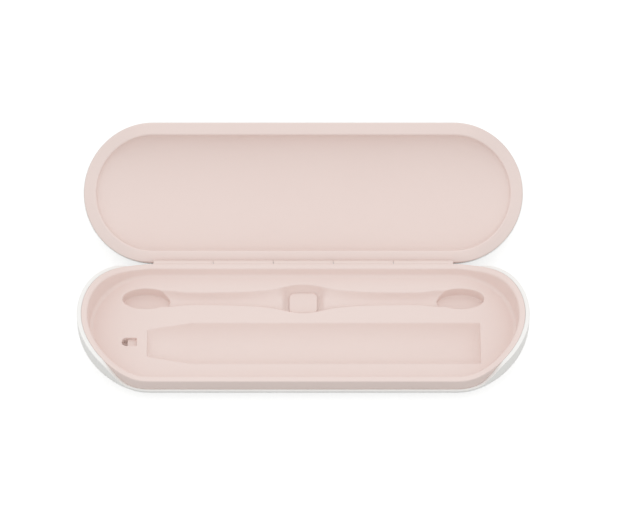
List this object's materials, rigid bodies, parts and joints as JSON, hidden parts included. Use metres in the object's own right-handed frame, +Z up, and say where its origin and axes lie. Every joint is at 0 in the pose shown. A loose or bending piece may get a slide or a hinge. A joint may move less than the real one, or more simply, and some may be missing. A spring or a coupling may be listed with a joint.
{
  "type": "electric toothbrush travel case",
  "caption": "Long round-ended travel case with a hinged lid, a fitted tray for an electric toothbrush handle and a slot for spare brush heads.",
  "frame": {"origin": "centre of the base's flat underside, on the surface that the case stands on", "axes": "+X along the case, +Y towards the hinge, +Z up"},
  "size_m": [0.248, 0.1532, 0.0561],
  "materials": {
    "shell": "moulded matte",
    "liner": "moulded fine matte",
    "divider": "moulded fine matte",
    "hinge": "moulded satin",
    "pin": "drawn",
    "magnet": "nickel plated"
  },
  "bodies": {
    "base": {"base_shell": "shell", "base_tray": "liner", "brush_divider": "divider", "base_hinge_leaf": "hinge", "hinge_pin": "pin", "base_magnet_left": "magnet", "base_magnet_right": "magnet"},
    "lid": {"lid_shell": "shell", "lid_liner": "liner", "lid_hinge_leaf": "hinge", "lid_magnet_left": "magnet", "lid_magnet_right": "magnet"}
  },
  "joints": [
    {"name": "lid_hinge", "type": "hinge", "parent": "base", "child": "lid", "pos_m": [0, 0.03935, 0.0156], "axis": [1, 0, 0], "range_deg": [0, 147]}
  ]
}
